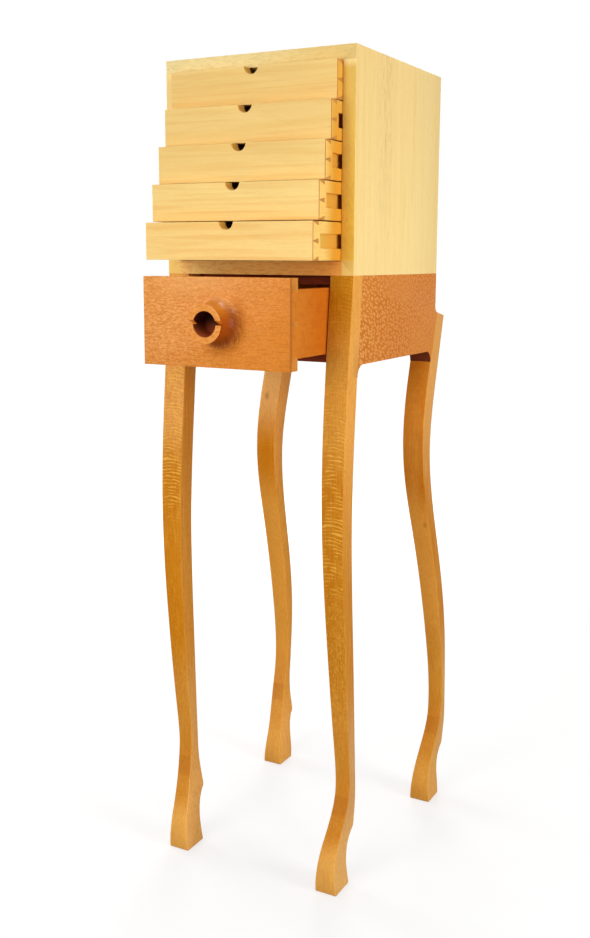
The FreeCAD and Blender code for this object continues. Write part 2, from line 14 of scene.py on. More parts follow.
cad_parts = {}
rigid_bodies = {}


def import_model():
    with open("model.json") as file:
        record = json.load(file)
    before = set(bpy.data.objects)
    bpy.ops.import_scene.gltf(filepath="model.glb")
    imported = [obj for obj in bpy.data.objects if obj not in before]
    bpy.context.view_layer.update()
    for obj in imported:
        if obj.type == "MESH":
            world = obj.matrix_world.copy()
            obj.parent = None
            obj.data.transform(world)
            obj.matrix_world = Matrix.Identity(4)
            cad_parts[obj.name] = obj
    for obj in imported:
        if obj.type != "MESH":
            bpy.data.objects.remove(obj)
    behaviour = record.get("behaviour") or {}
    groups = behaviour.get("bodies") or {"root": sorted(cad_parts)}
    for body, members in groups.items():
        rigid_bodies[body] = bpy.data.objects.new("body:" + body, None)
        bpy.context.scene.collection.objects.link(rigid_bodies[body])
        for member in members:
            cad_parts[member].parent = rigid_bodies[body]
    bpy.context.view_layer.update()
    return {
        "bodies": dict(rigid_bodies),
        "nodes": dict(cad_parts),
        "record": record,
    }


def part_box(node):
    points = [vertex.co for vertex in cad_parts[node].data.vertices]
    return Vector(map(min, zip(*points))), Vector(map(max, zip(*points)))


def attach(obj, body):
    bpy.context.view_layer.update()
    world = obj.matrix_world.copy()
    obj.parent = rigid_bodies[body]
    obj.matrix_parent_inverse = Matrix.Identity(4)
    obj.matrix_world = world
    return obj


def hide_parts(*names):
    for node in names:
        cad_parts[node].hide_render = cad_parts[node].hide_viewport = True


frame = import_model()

X, Y, Z = 0, 1, 2
nodes = frame["nodes"]
bodies = frame["record"]["behaviour"]["bodies"]
body_of = {node: body for body, members in bodies.items() for node in members}

# %% [markdown]
# ## Camera
# The picture was taken from the right of the front, at about the height of the deep drawer, with the lens
# turned a little down. Where the corners of the case fall in it gives the distance, the angles and the
# field of view. The optical axis passes above the middle of the frame, which is what the shift is for.

# %% Camera
IMAGE_HEIGHT = 938
FOCAL_PIXELS = 1088.9
AXIS_PIXEL_ROW = 430
CAMERA_PLACE = Vector((0.8105, -1.5032, 0.9553))
CAMERA_AZIMUTH = math.radians(28.212)
CAMERA_DOWN = math.radians(9.013)
CAMERA_ROLL = math.radians(0.275)
SENSOR = 36.0

lens = bpy.data.cameras.new("camera")
lens.sensor_width = SENSOR
lens.lens = FOCAL_PIXELS * SENSOR / IMAGE_HEIGHT
lens.shift_y = (AXIS_PIXEL_ROW - IMAGE_HEIGHT / 2) / IMAGE_HEIGHT
camera = bpy.data.objects.new("camera", lens)
bpy.context.scene.collection.objects.link(camera)
camera.matrix_world = (
    Matrix.Translation(CAMERA_PLACE)
    @ Matrix.Rotation(CAMERA_AZIMUTH, 4, "Z")
    @ Matrix.Rotation(math.pi / 2 - CAMERA_DOWN, 4, "X")
    @ Matrix.Rotation(CAMERA_ROLL, 4, "Z"))
bpy.context.scene.camera = camera
bpy.context.scene.view_settings.view_transform = "Standard"
print(f"lens {lens.lens:.1f} mm, shift {lens.shift_y:.3f}")

# %% [markdown]
# ## Shader maths
# A wood finish is a sum of masks: slow bands, fine lines, pores and rays. Wiring each sum by hand hides
# what it says, so a small class wraps a node's output and turns Python's operators into Math nodes. Any
# other node is made by one method, from its type, its settings and what goes into its sockets.


# %% Values that vary over a surface
class Value:
    """A node's output. Python's operators on it add Math nodes."""

    def __init__(self, wiring, socket):
        self.wiring = wiring
        self.socket = socket

    def maths(self, operation, first, second=0.0):
        return self.wiring.node("ShaderNodeMath", {"operation": operation}, {0: first, 1: second})

    def __add__(self, other):
        return self.maths("ADD", self, other)

    def __radd__(self, other):
        return self.maths("ADD", other, self)

    def __sub__(self, other):
        return self.maths("SUBTRACT", self, other)

    def __rsub__(self, other):
        return self.maths("SUBTRACT", other, self)

    def __mul__(self, other):
        return self.maths("MULTIPLY", self, other)

    def __rmul__(self, other):
        return self.maths("MULTIPLY", other, self)

    def __abs__(self):
        return self.maths("ABSOLUTE", self)

    def root(self):
        return self.maths("SQRT", self)

    def step(self, low, high):
        """Rise softly from 0 at one value to 1 at another."""
        return self.wiring.node(
            "ShaderNodeMapRange", {"interpolation_type": "SMOOTHSTEP"},
            {"Value": self, "From Min": low, "From Max": high})


class Wiring:
    """A node tree while it is made."""

    def __init__(self, tree):
        self.tree = tree

    def node(self, kind, settings=None, sockets=None, output=0):
        """Add a node, set its settings and then its sockets, and give one of its outputs."""
        made = self.tree.nodes.new(kind)
        for key, setting in (settings or {}).items():
            setattr(made, key, setting)
        for key, value in (sockets or {}).items():
            self.plug(made.inputs[key], value)
        return Value(self, made.outputs[output])

    def plug(self, socket, value):
        if isinstance(value, Value):
            self.tree.links.new(value.socket, socket)
        else:
            socket.default_value = value


# %% A finish and its nodes
SATIN = 0.12
DRY = 0.06
MATT = 0.54
WHITE = (1, 1, 1, 1)


def colour(red, green, blue):
    """A colour as a picture has it, 0 to 255, turned into the linear values that a shader wants."""
    def linear(value):
        share = value / 255
        return share / 12.92 if share <= 0.04045 else ((share + 0.055) / 1.055) ** 2.4
    return (linear(red), linear(green), linear(blue), 1.0)


class Finish(Wiring):
    """A material while it is made."""

    def __init__(self, name, sheen=SATIN):
        self.material = bpy.data.materials.new(name)
        self.material.use_nodes = True
        super().__init__(self.material.node_tree)
        self.shader = self.tree.nodes["Principled BSDF"]
        self.shader.inputs["Specular IOR Level"].default_value = sheen

    def mix(self, share, first, second):
        """Blend two colours."""
        return self.node("ShaderNodeMix", {"data_type": "RGBA"}, {0: share, 6: first, 7: second}, output=2)

    def place(self, density=(1, 1, 1), turn=(0, 0, 0)):
        """The piece's own coordinates, with so many features to a metre along X, Y and Z."""
        where = self.node("ShaderNodeTexCoord", output="Object")
        return self.node("ShaderNodeMapping", {}, {"Vector": where, "Rotation": turn, "Scale": density})

    def noise(self, density, detail=2.0, roughness=0.5, warp=0.0, turn=(0, 0, 0)):
        return self.node("ShaderNodeTexNoise", {}, {
            "Vector": self.place(density, turn), "Scale": 1.0, "Detail": detail, "Roughness": roughness,
            "Distortion": warp})

    def along(self, axis):
        """How far a point lies along an axis, in metres."""
        return self.node("ShaderNodeSeparateXYZ", {}, {0: self.place()}, output=axis)

    def facing(self, axis):
        """How squarely the surface faces along an axis, from 0 to 1."""
        normal = self.node("ShaderNodeNewGeometry", output="True Normal")
        return abs(self.node("ShaderNodeSeparateXYZ", {}, {0: normal}, output=axis))

    def show(self, base, gloss, relief, depth):
        """Wire the colour, the roughness and the height of the finest relief to the shader."""
        self.plug(self.shader.inputs["Base Color"], base)
        self.plug(self.shader.inputs["Roughness"], gloss)
        bump = self.node("ShaderNodeBump", {}, {"Height": relief, "Distance": depth, "Strength": 1.0})
        self.plug(self.shader.inputs["Normal"], bump)
        return self.material


print(f"a mid grey of 128 is {colour(128, 128, 128)[0]:.3f} in a shader")

# %% [markdown]
# ## Pale timber
# The case and the small drawers are of a pale yellow, very fine-grained timber. Close to, it has broad soft
# streaks, short growth lines and pores, all drawn out along the grain, and its end grain is browner. One
# function makes it for each direction of the grain, because a board's figure follows its length.


# %% Pale timber
PAST_NOTCH = (0.04, 0.05)
GROWTH_LINES = (420, 24)


def drawn_out(axis, across, lengthwise):
    """Densities of a pattern that is drawn out along the grain."""
    density = [across, across, across]
    density[axis] = lengthwise
    return density


def growth_lines(wood, grain):
    return wood.noise(drawn_out(grain, *GROWTH_LINES), detail=3, roughness=0.65)


def pale_timber(name, grain, ground, band, line, end, streaks=(110, 6), band_share=0.6, line_share=0.24,
                stain=None):
    """Four colours, from the ground to the end grain, and a stain that adds a board's own tones."""
    wood = Finish(name)
    slow = wood.noise(drawn_out(grain, 18, 1.1), detail=2, warp=0.3)
    streak = wood.noise(drawn_out(grain, *streaks), detail=2, warp=0.25)
    lines = growth_lines(wood, grain)
    pores = wood.noise(drawn_out(grain, 800, 110), detail=1)
    bands = slow.step(0.38, 0.7) * 0.4 + streak.step(0.42, 0.7) * 0.6
    base = wood.mix(bands * band_share, ground, band)
    base = wood.mix(lines.step(0.46, 0.74) * line_share, base, line)
    pore = pores.step(0.52, 0.7)
    base = wood.mix(pore * line_share * 0.6, base, line)
    if stain:
        base = stain(wood, base)
    at_end = wood.facing(grain).step(0.7, 0.95) * abs(wood.along(grain)).step(*PAST_NOTCH)
    base = wood.mix(at_end * 0.85, base, end)
    return wood.show(base, MATT + lines * 0.12 + pore * 0.1, lines * 0.4 - pore * 0.5, 0.0001)


print(f"growth lines to a metre, grain along X: {drawn_out(X, *GROWTH_LINES)}")

# %% [markdown]
# ## Tones of the case
# A board is seldom one colour. The sides have a greyish, mottled streak near their middle and are deeper
# in tone near the front; towards the top they are painted darker, as painted shade of the light from the
# right falling off upwards. The right front edge beside the drawers and the edge below them are warmer than
# the edge above them, as painted shadow of the drawers, warmed by light bounced off their sides. The places
# come from the boxes of the solids, so the tones stay where the boards are.

# %% Case timber
CASE_COLOURS = (colour(247, 219, 147), colour(241, 206, 128), colour(222, 184, 106), colour(206, 156, 84))
GREY_STREAK = colour(208, 180, 116)
GREY_PLACE = -0.009
SIDE_PALER = (1.07, 1.05, 1.08, 1)
SIDE_DEEPER_AND_SHADED = (0.935, 0.893, 0.875, 1)
SQUARE_ON = (0.6, 0.9)
CASE_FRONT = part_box("case_top")[0].y
CASE_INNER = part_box("case_right_side")[0].x
DRAWERS_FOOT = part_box("drawer_5_front")[0].z
DRAWERS_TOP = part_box("drawer_1_front")[1].z


def side_marks(wood, base):
    """The mottled streak in a side, its darker tone near the front, and painted shade towards the top."""
    y, z = wood.along(Y), wood.along(Z)
    on_side = wood.facing(X).step(*SQUARE_ON)
    mottle = wood.noise((400, 330, 48), detail=3, roughness=0.65)
    streak = (1 - abs(y - GREY_PLACE).step(0.01, 0.038)) * on_side * z.step(0.9, 1.16)
    base = wood.mix(streak * mottle.step(0.4, 0.7) * 0.55, base, GREY_STREAK)
    # Painted shade: darker towards the top, where the light from the right falls off; deeper near the
    # front.
    deeper_and_painted_shade = (1 - y.step(CASE_FRONT, 0.12)) * 0.5 + z.step(0.95, 1.24) * 0.5
    tint = wood.mix(on_side, WHITE, wood.mix(deeper_and_painted_shade, SIDE_PALER, SIDE_DEEPER_AND_SHADED))
    return wood.node("ShaderNodeVectorMath", {"operation": "MULTIPLY"}, {0: base, 1: tint})


def edge_tones(wood, base):
    """The case's front edges: beside and below the drawers as painted shadow, and above them."""
    x, y, z = wood.along(X), wood.along(Y), wood.along(Z)
    front = wood.facing(Y).step(*SQUARE_ON) * (1 - y.step(CASE_FRONT + 0.002, CASE_FRONT + 0.004))
    beside = x.step(CASE_INNER - 0.0005, CASE_INNER + 0.0005)
    over_foot = z.step(DRAWERS_FOOT - 0.002, DRAWERS_FOOT)
    between = over_foot * (1 - z.step(DRAWERS_TOP - 0.012, DRAWERS_TOP))
    # Painted shadow: right of the drawers, as in their shadow, warmed by light off their sides.
    painted_shadow_beside = wood.mix(z.step(0.96, 1.18), colour(244, 198, 68), colour(220, 182, 86))
    cloud = wood.noise((260, 260, 120), detail=2).step(0.42, 0.64)
    painted_shadow_beside = wood.mix(cloud * 0.3, painted_shadow_beside, colour(214, 160, 56))
    base = wood.mix(front * beside * between * 0.9, base, painted_shadow_beside)
    base = wood.mix(front * (1 - over_foot) * 0.8, base, colour(238, 194, 98))
    over = front * z.step(DRAWERS_TOP, DRAWERS_TOP + 0.002)
    pale = wood.mix(x.step(-0.06, 0.15), colour(234, 216, 158), colour(216, 184, 112))
    base = wood.mix(over * 0.7, base, pale)
    dashes = wood.noise((110, 700, 700), detail=2).step(0.46, 0.66)
    base = wood.mix(over * dashes * 0.3, base, colour(206, 164, 92))
    base = wood.mix(front * between * (1 - x.step(-CASE_INNER, 0)) * 0.5, base, colour(226, 196, 124))
    under = (1 - over_foot) * (1 - abs(x).step(CASE_INNER, CASE_INNER + 0.003))
    # Painted shadow: under the drawers, as in the lowest drawer's shadow, lighter towards the left.
    shaded = wood.mix(x.step(-CASE_INNER, 0), colour(255, 210, 124), colour(255, 190, 98))
    shaded = wood.mix(x.step(-0.02, CASE_INNER), shaded, colour(244, 156, 62))
    base = wood.mix(front * under * (0.7 + growth_lines(wood, X) * 0.3), base, shaded)
    return wood.mix(front * under * dashes * 0.4, base, colour(214, 108, 40))


def case_marks(wood, base):
    return edge_tones(wood, side_marks(wood, base))


case_upright = pale_timber("case_timber_upright", Z, *CASE_COLOURS, streaks=(90, 3), stain=case_marks)
case_level = pale_timber("case_timber_level", X, *CASE_COLOURS, streaks=(90, 3), stain=case_marks)
print("case timber made")

# %% [markdown]
# ## Timber of the drawers
# The drawers are of the same timber, cut from warmer boards. The upper fronts are painted a little greyer,
# as painted shade. The sides are painted deeper near the front of the case, as painted shade and light
# bounced off the next sides, and their grooves are painted paler, as painted light in the recess. Backs and
# bottoms are plainer, and the strips that the drawers run on are a brown hardwood. All of it is the pale
# timber again, with other colours and stains.

# %% Drawer timbers
SIDE_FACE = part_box("drawer_1_right_side")[1].x
DEEP_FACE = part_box("deep_drawer_right_side")[1].x
LEG_LEAN = 0.1
LEG_OFFSET = 0.093
INNER_COLOURS = (colour(222, 182, 106), colour(204, 160, 86), colour(186, 142, 74), colour(168, 122, 60))


def front_tones(wood, base):
    """The upper fronts are painted a little greyer, as shade; the wall of the finger notch is golden."""
    # Painted shade: the fronts grow a little greyer and darker upwards.
    base = wood.mix(wood.along(Z).step(0.97, 1.14) * 0.34, base, colour(216, 180, 110))
    notch = wood.facing(X).step(0.3, 0.7) * (1 - abs(wood.along(X)).step(*PAST_NOTCH))
    return wood.mix(notch * 0.8, base, colour(222, 166, 70))


def side_tones(wood, base):
    """Painted shade darkens a drawer's side near the case's front; painted light makes its groove lighter.
    """
    behind = wood.along(Y) - CASE_FRONT
    # Painted shade with warm bounced light: deeper near the front of the case, less deep on the upper
    # drawers.
    deeper_and_painted_shade = behind.step(-0.056, -0.018) * (1 - behind.step(0, 0.06) * 0.6)
    tone = wood.mix(wood.along(Z).step(1.08, 1.18), colour(228, 154, 38), colour(226, 168, 66))
    base = wood.mix(deeper_and_painted_shade * 0.95, base, tone)
    # Painted light: the floor of the groove is painted lighter than the side, warmer towards the back.
    sunk = 1 - abs(wood.along(X)).step(SIDE_FACE - 0.005, SIDE_FACE - 0.004)
    cut = wood.mix(behind.step(-0.07, -0.01), colour(255, 214, 100), colour(255, 190, 74))
    return wood.mix(wood.facing(X).step(*SQUARE_ON) * sunk * 0.9, base, cut)


def deep_tones(wood, base):
    """The deep drawer's side: clouded, lighter near its front, with a painted shadow in a line beside a
    leg.
    """
    behind_front = wood.along(Y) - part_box("deep_drawer_front")[1].y
    base = wood.mix((1 - behind_front.step(-0.01, 0.07)) * 0.5, base, colour(216, 134, 44))
    cloud = wood.noise((60, 60, 90), detail=3, roughness=0.6, turn=(math.radians(25), 0, 0))
    base = wood.mix(cloud.step(0.42, 0.68) * 0.3, base, colour(182, 84, 12))
    # Painted shadow: a dark line along the leg's slanted edge, where the gap between side and leg is.
    behind_leg = wood.along(Y) - wood.along(Z) * LEG_LEAN + LEG_OFFSET - CASE_FRONT
    outside = abs(wood.along(X)).step(DEEP_FACE - 0.002, DEEP_FACE - 0.001)
    painted_gap_shadow = behind_leg.step(-0.007, 0.0) * (1 - behind_leg.step(0.004, 0.02)) * outside
    return wood.mix(painted_gap_shadow * 0.4, base, colour(128, 60, 16))


drawer_front_timber = pale_timber(
    "drawer_front_timber", X, colour(247, 213, 136), colour(236, 186, 104), colour(222, 164, 80),
    colour(196, 124, 50), streaks=(150, 5), band_share=0.85, line_share=0.16, stain=front_tones)
drawer_side_timber = pale_timber(
    "drawer_side_timber", Y, colour(254, 210, 118), colour(246, 194, 98), colour(220, 154, 60),
    colour(190, 130, 54), stain=side_tones)
runner_timber = pale_timber(
    "runner_timber", Y, colour(184, 112, 54), colour(172, 98, 44), colour(150, 82, 36), colour(140, 76, 34))
inner_timber = pale_timber("inner_timber", Y, *INNER_COLOURS)
inner_timber_level = pale_timber("inner_timber_level", X, *INNER_COLOURS)
inner_timber_upright = pale_timber("inner_timber_upright", Z, *INNER_COLOURS)
print("drawer timbers made")

# %% [markdown]
# ## Figured timber
# The stand is of a timber with large rays. Where a face lies along the rays they show as ripples and flecks
# that catch the light, and where it cuts across them it is plain. So each finish has a figure of its own,
# and on the legs it fades out as the surface turns away from the front. The ripples are a wave texture,
# bowed across the leg and broken up by a second pattern, because real ones soon stop.


# %% Leg timber
# Place across, height and size of each knot.
KNOTS = ((-0.1438, 0.711, 0.005), (0.1555, 0.508, 0.004))
FRONT_HEIGHTS = ((0.05, 0.09), (0.15, 0.22), (0.26, 0.36), (0.5, 0.6), (0.62, 0.72), (0.81, 0.89))
SIDE_HEIGHTS = ((0.07, 0.14), (0.2, 0.36), (0.46, 0.76))
ANKLE_FOOT = (0.112, 0.12)
ANKLE_TOP = (0.143, 0.146)
RIPPLE_BOW = 9.0
RIPPLE_TURN = 0.4
LEG_MIDDLE = 0.138


def graded(wood, tones, heights):
    """A colour that changes with height: each tone after the first sets in between two heights."""
    base = tones[0]
    for tone, (low, high) in zip(tones[1:], heights):
        base = wood.mix(wood.along(Z).step(low, high), base, tone)
    return base


def ripples(wood, scale, low, high):
    """Bowed ripples across a leg's front."""
    aside = abs(wood.along(X)) - LEG_MIDDLE
    bowed = wood.along(Z) + aside * aside * RIPPLE_BOW
    where = wood.node("ShaderNodeCombineXYZ", {}, {
        0: wood.along(X) * RIPPLE_TURN, 1: wood.along(Y) * RIPPLE_TURN, 2: bowed})
    wave = wood.node(
        "ShaderNodeTexWave", {"wave_type": "BANDS", "bands_direction": "Z", "wave_profile": "SIN"},
        {"Vector": where, "Scale": scale, "Distortion": 6.0, "Detail": 2.0, "Detail Scale": 1.4,
         "Detail Roughness": 0.6})
    patch = wood.noise((70, 45, 60), detail=2)
    return wave.step(low, high) * patch.step(0.36, 0.6)


def leg_timber(name, on_front, on_sides, ripple_share, ripple_scale=62.0, thin=0.5,
               come=(0.0, 0.1), go=(0.9, 1.0), spot_share=0.0, knots=()):
    """Tones from the foot up. The ripples on the front come and go between heights, with spots below."""
    wood = Finish(name, sheen=DRY)
    up = wood.along(Z)
    slow = wood.noise(drawn_out(Z, 22, 1.6), detail=3, warp=0.3)
    lines = wood.noise(drawn_out(Z, 480, 14), detail=3, roughness=0.65)
    specks = wood.noise(drawn_out(Z, 620, 190), detail=1.5)
    to_front = wood.facing(Y).step(0.55, 0.9)
    fleck = ripples(wood, ripple_scale, thin, 0.97) * to_front * ripple_share
    fleck = fleck * up.step(*come) * (1 - up.step(*go) * 0.7)
    spots = wood.noise((420, 420, 230), detail=1, turn=(0, math.radians(20), 0))
    spots = spots.step(0.52, 0.64) * to_front * up.step(0.22, 0.3) * (1 - up.step(*come)) * spot_share
    weave = wood.noise((160, 160, 520), detail=2) * wood.noise((520, 520, 60), detail=2)
    base = wood.mix(to_front, graded(wood, on_sides, SIDE_HEIGHTS), graded(wood, on_front, FRONT_HEIGHTS))
    base = wood.mix(slow.step(0.4, 0.75) * 0.22, base, colour(240, 180, 84))
    base = wood.mix(lines.step(0.48, 0.74) * 0.24, base, colour(172, 86, 18))
    pale = wood.mix(to_front, colour(248, 196, 108), colour(240, 182, 70))
    base = wood.mix((1 - lines.step(0.3, 0.5)) * 0.24, base, pale)
    base = wood.mix(specks.step(0.5, 0.7) * (0.26 - to_front * 0.12), base, colour(170, 80, 16))
    woven = weave.step(0.2, 0.34) * to_front * up.step(0.16, 0.26)
    base = wood.mix(woven * (0.06 + ripple_share * 0.24), base, colour(176, 90, 10))
    # Painted shade: a darker band at the ankle, where the front turns a little downwards.
    ankle_painted_shade = up.step(*ANKLE_FOOT) * (1 - up.step(*ANKLE_TOP)) * to_front
    base = wood.mix(ankle_painted_shade * 0.3, base, colour(170, 92, 16))
    base = wood.mix(fleck * 0.8 + spots * 0.6, base, colour(238, 180, 72))
    for knot_x, knot_z, size in knots:
        aside = wood.along(X) - knot_x
        above = (wood.along(Z) - knot_z) * 0.6
        away = (aside * aside + above * above).root()
        base = wood.mix((1 - away.step(size * 0.1, size * 1.3)) * 0.42, base, colour(142, 62, 20))
    return wood.show(base, MATT + lines * 0.1 - fleck * 0.12, lines * 0.5 + fleck * 0.5, 0.00012)


print(f"up to {len(FRONT_HEIGHTS) + 1} tones on a leg's front, {len(SIDE_HEIGHTS) + 1} on its sides")

# %% [markdown]
# ## Tones of the legs
# Four legs come out of four planks, so each has tones of its own, listed from the foot up, and its own
# share of ripples. The front legs show the most, and each of the plainer hind legs has a knot.

# %% Tones of the legs
GOLD = colour(194, 120, 10)
AMBER = colour(202, 127, 35)
SHANK = colour(214, 143, 48)
TAN = colour(232, 167, 79)
RIGHT_SIDES = (colour(230, 174, 100), colour(208, 154, 94), colour(196, 126, 34), colour(234, 164, 74))
RIGHT_REAR_SIDES = (colour(222, 162, 84), colour(208, 154, 86), colour(186, 114, 24), colour(220, 158, 84))
LEFT_REAR_SIDES = (colour(242, 172, 84), colour(228, 156, 60), colour(224, 150, 54), colour(226, 152, 74))
LEFT_SIDES = (colour(250, 184, 102), colour(238, 172, 92), colour(228, 152, 54), colour(218, 138, 46))
leg_finishes = {
    "front_right_leg": leg_timber(
        "front_right_leg_timber",
        (TAN, AMBER, SHANK, GOLD, GOLD, colour(214, 146, 52), colour(200, 130, 8)), RIGHT_SIDES,
        ripple_share=0.85, ripple_scale=56.0, thin=0.68, come=(0.42, 0.52), go=(0.68, 0.78),
        spot_share=0.55),
    "front_left_leg": leg_timber(
        "front_left_leg_timber",
        (TAN, AMBER, SHANK, colour(206, 129, 18), colour(198, 122, 12), colour(226, 158, 82)), LEFT_SIDES,
        ripple_share=1.0, ripple_scale=58.0, thin=0.6, come=(0.5, 0.62)),
    "rear_right_leg": leg_timber(
        "rear_right_leg_timber",
        (colour(220, 149, 58), AMBER, SHANK, colour(226, 152, 60), colour(190, 104, 2),
         colour(224, 128, 26)), RIGHT_REAR_SIDES, ripple_share=0.1, knots=KNOTS),
    "rear_left_leg": leg_timber(
        "rear_left_leg_timber",
        (colour(232, 164, 72), colour(218, 143, 56), colour(232, 158, 60), colour(238, 162, 62),
         colour(214, 128, 14), colour(250, 184, 106)), LEFT_REAR_SIDES, ripple_share=0.1, knots=KNOTS),
}
print("leg timbers made")

# %% [markdown]
# ## Timber of the panels
# On the side panels the rays show as a mosaic of pale flecks, which lean a little. Near the front the
# flecks are painted brightest, as a painted highlight, and towards the rear the panel is painted paler, as
# a painted sheen; its lower edges are dark, their own darker timber with painted shade. A Voronoi texture
# gives such cells, and a noise shakes them, so that they aren't all alike.

# %% Panel timber
PANEL_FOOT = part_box("right_side_panel")[0].z
FLECKS_ALONG = 112
FLECKS_UP = 200
FLECKS_LEAN = 60
FLECKS_NARROW = 90


def panel_timber(name):
    wood = Finish(name, sheen=DRY)
    shake = wood.noise((60, 60, 60), detail=2)
    along, up = wood.along(Y), wood.along(Z)
    where = wood.node("ShaderNodeCombineXYZ", {}, {
        0: along * FLECKS_ALONG + along * along * FLECKS_NARROW + shake,
        1: up * FLECKS_UP + along * FLECKS_LEAN + shake})
    spread = wood.node("ShaderNodeTexVoronoi", {"feature": "SMOOTH_F1", "voronoi_dimensions": "2D"},
                       {"Vector": where, "Scale": 1.0, "Smoothness": 0.15, "Randomness": 0.85})
    slow = wood.noise((24, 12, 24), detail=2)
    fine = wood.noise((800, 300, 900), detail=2)
    fleck = 1 - (spread + (slow - 0.5) * 0.25).step(0.14, 0.52)
    base = wood.mix(slow.step(0.3, 0.7), colour(198, 110, 34), colour(208, 124, 46))
    # Painted sheen: paler towards the rear.
    base = wood.mix(along.step(-0.1, 0.15) * 0.25, base, colour(218, 142, 68))
    # Painted highlight: the flecks are brightest near the front.
    fleck_tone_and_painted_highlight = wood.mix(along.step(-0.12, 0.05), colour(242, 176, 92), colour(228, 154, 76))
    base = wood.mix(fleck * (0.66 - along), base, fleck_tone_and_painted_highlight)
    base = wood.mix(fine.step(0.5, 0.75) * 0.25, base, colour(184, 96, 32))
    # Painted shade: the panel's lower edges and fillet are dark, their own darker timber with painted
    # shade.
    below = (1 - wood.facing(X).step(0.35, 0.7)) * (1 - up.step(PANEL_FOOT + 0.03, PANEL_FOOT + 0.04))
    base = wood.mix(below * 0.95, base, colour(104, 44, 22))
    return wood.show(base, MATT + fine * 0.1 - fleck * 0.08, fleck * 0.6 + fine * 0.3, 0.00014)


panel_finish = panel_timber("panel_timber")
print("panel timber made")

# %% [markdown]
# ## Timber of the deep drawer
# The deep drawer's front has fine ripples, calmer to the right, under a painted sheen that leaves it paler
# at the upper left and deeper in tone to the lower right. Round the knob dark rays run out like hairs. They
# need the angle about the knob's axis and the distance from it, so a noise is laid out in those two. Below
# and right of the knob the front is painted darker, as its shadow. The rails behind the front have the same
# ripples in a deep red-brown, which is partly painted shade.

# %% Hairs about the knob
HAIR_COLOUR = colour(124, 58, 6)
FRINGE_COLOUR = colour(158, 82, 8)
HAIRS = 30.0
HAIR_SWEEP = 36.0
HAIR_LENGTH = 60
PAINTED_SHEEN_PLACE = -0.03
knob_low, knob_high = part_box("deep_drawer_knob")
knob_middle = (knob_low + knob_high) / 2


def about_knob(wood):
    """Place about the knob's axis: to the right of it, above it, and out from it."""
    aside = wood.along(X) - knob_middle.x
    above = wood.along(Z) - knob_middle.z
    return aside, above, (aside * aside + above * above).root()


def lower_right_rays_and_shade(aside, above):
    """The knob's lower right and the front about it, where dark rays surface and where shade is painted."""
    return (aside - above * 0.8).step(-0.012, 0.03)


def knob_streaks(wood):
    """Streaks that run out from the knob's axis and lean over as they do, like a pelt."""
    aside, above, radius = about_knob(wood)
    round_it = wood.node("ShaderNodeMath", {"operation": "ARCTAN2"}, {0: above, 1: aside})
    polar = wood.node("ShaderNodeCombineXYZ", {}, {
        0: (round_it + radius * HAIR_SWEEP) * HAIRS, 1: radius * HAIR_LENGTH, 2: wood.along(Y) * 20})
    return wood.node("ShaderNodeTexNoise", {}, {"Vector": polar, "Scale": 1.0, "Detail": 2.0})


def hairs_sheen_and_shadow_on_front(wood, base):
    """Hairs and a painted shadow by the knob, a painted sheen above it, and ends that are dark at the
    arris.
    """
    aside, above, radius = about_knob(wood)
    low_right_rays_and_shade = lower_right_rays_and_shade(aside, above)
    behind = wood.along(Y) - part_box("deep_drawer_front")[0].y
    arris = wood.facing(X).step(*SQUARE_ON) * (1 - behind.step(0.005, 0.008))
    base = wood.mix(arris * 0.6, base, colour(168, 90, 30))
    on_face = wood.facing(Y).step(*SQUARE_ON)
    # Painted shadow: the front is darker in a ring below and right of the knob.
    ring = (1 - radius.step(0.034, 0.058)) * low_right_rays_and_shade
    base = wood.mix(on_face * ring * 0.55, base, colour(186, 104, 16))
    base = wood.mix(on_face * wood.along(X).step(0.075, 0.14) * 0.2, base, colour(190, 104, 30))
    # Painted sheen: a paler patch at the top of the front, above and left of the knob.
    painted_sheen = (1 - abs(wood.along(X) - PAINTED_SHEEN_PLACE).step(0.02, 0.1)) * wood.along(Z).step(0.88, 0.93)
    base = wood.mix(on_face * painted_sheen * 0.35, base, colour(240, 178, 110))
    fringe = knob_streaks(wood).step(0.4, 0.6) * low_right_rays_and_shade * (1 - radius.step(0.035, 0.05))
    return wood.mix(fringe * on_face * 0.6, base, FRINGE_COLOUR)


print(f"the knob's axis is {knob_middle.z:.3f} m up")

# %% Deep drawer and rail timber
FIGURE_AND_SHEEN_HEIGHT = 0.86
FIGURE_AND_SHEEN_SLANT = 1.6
RIPPLE_LEAN = math.radians(14)


def cross_ripple(wood, lean=0.0):
    return wood.noise((170, 170, 420), detail=3, roughness=0.55, warp=0.6, turn=(0, lean, 0))


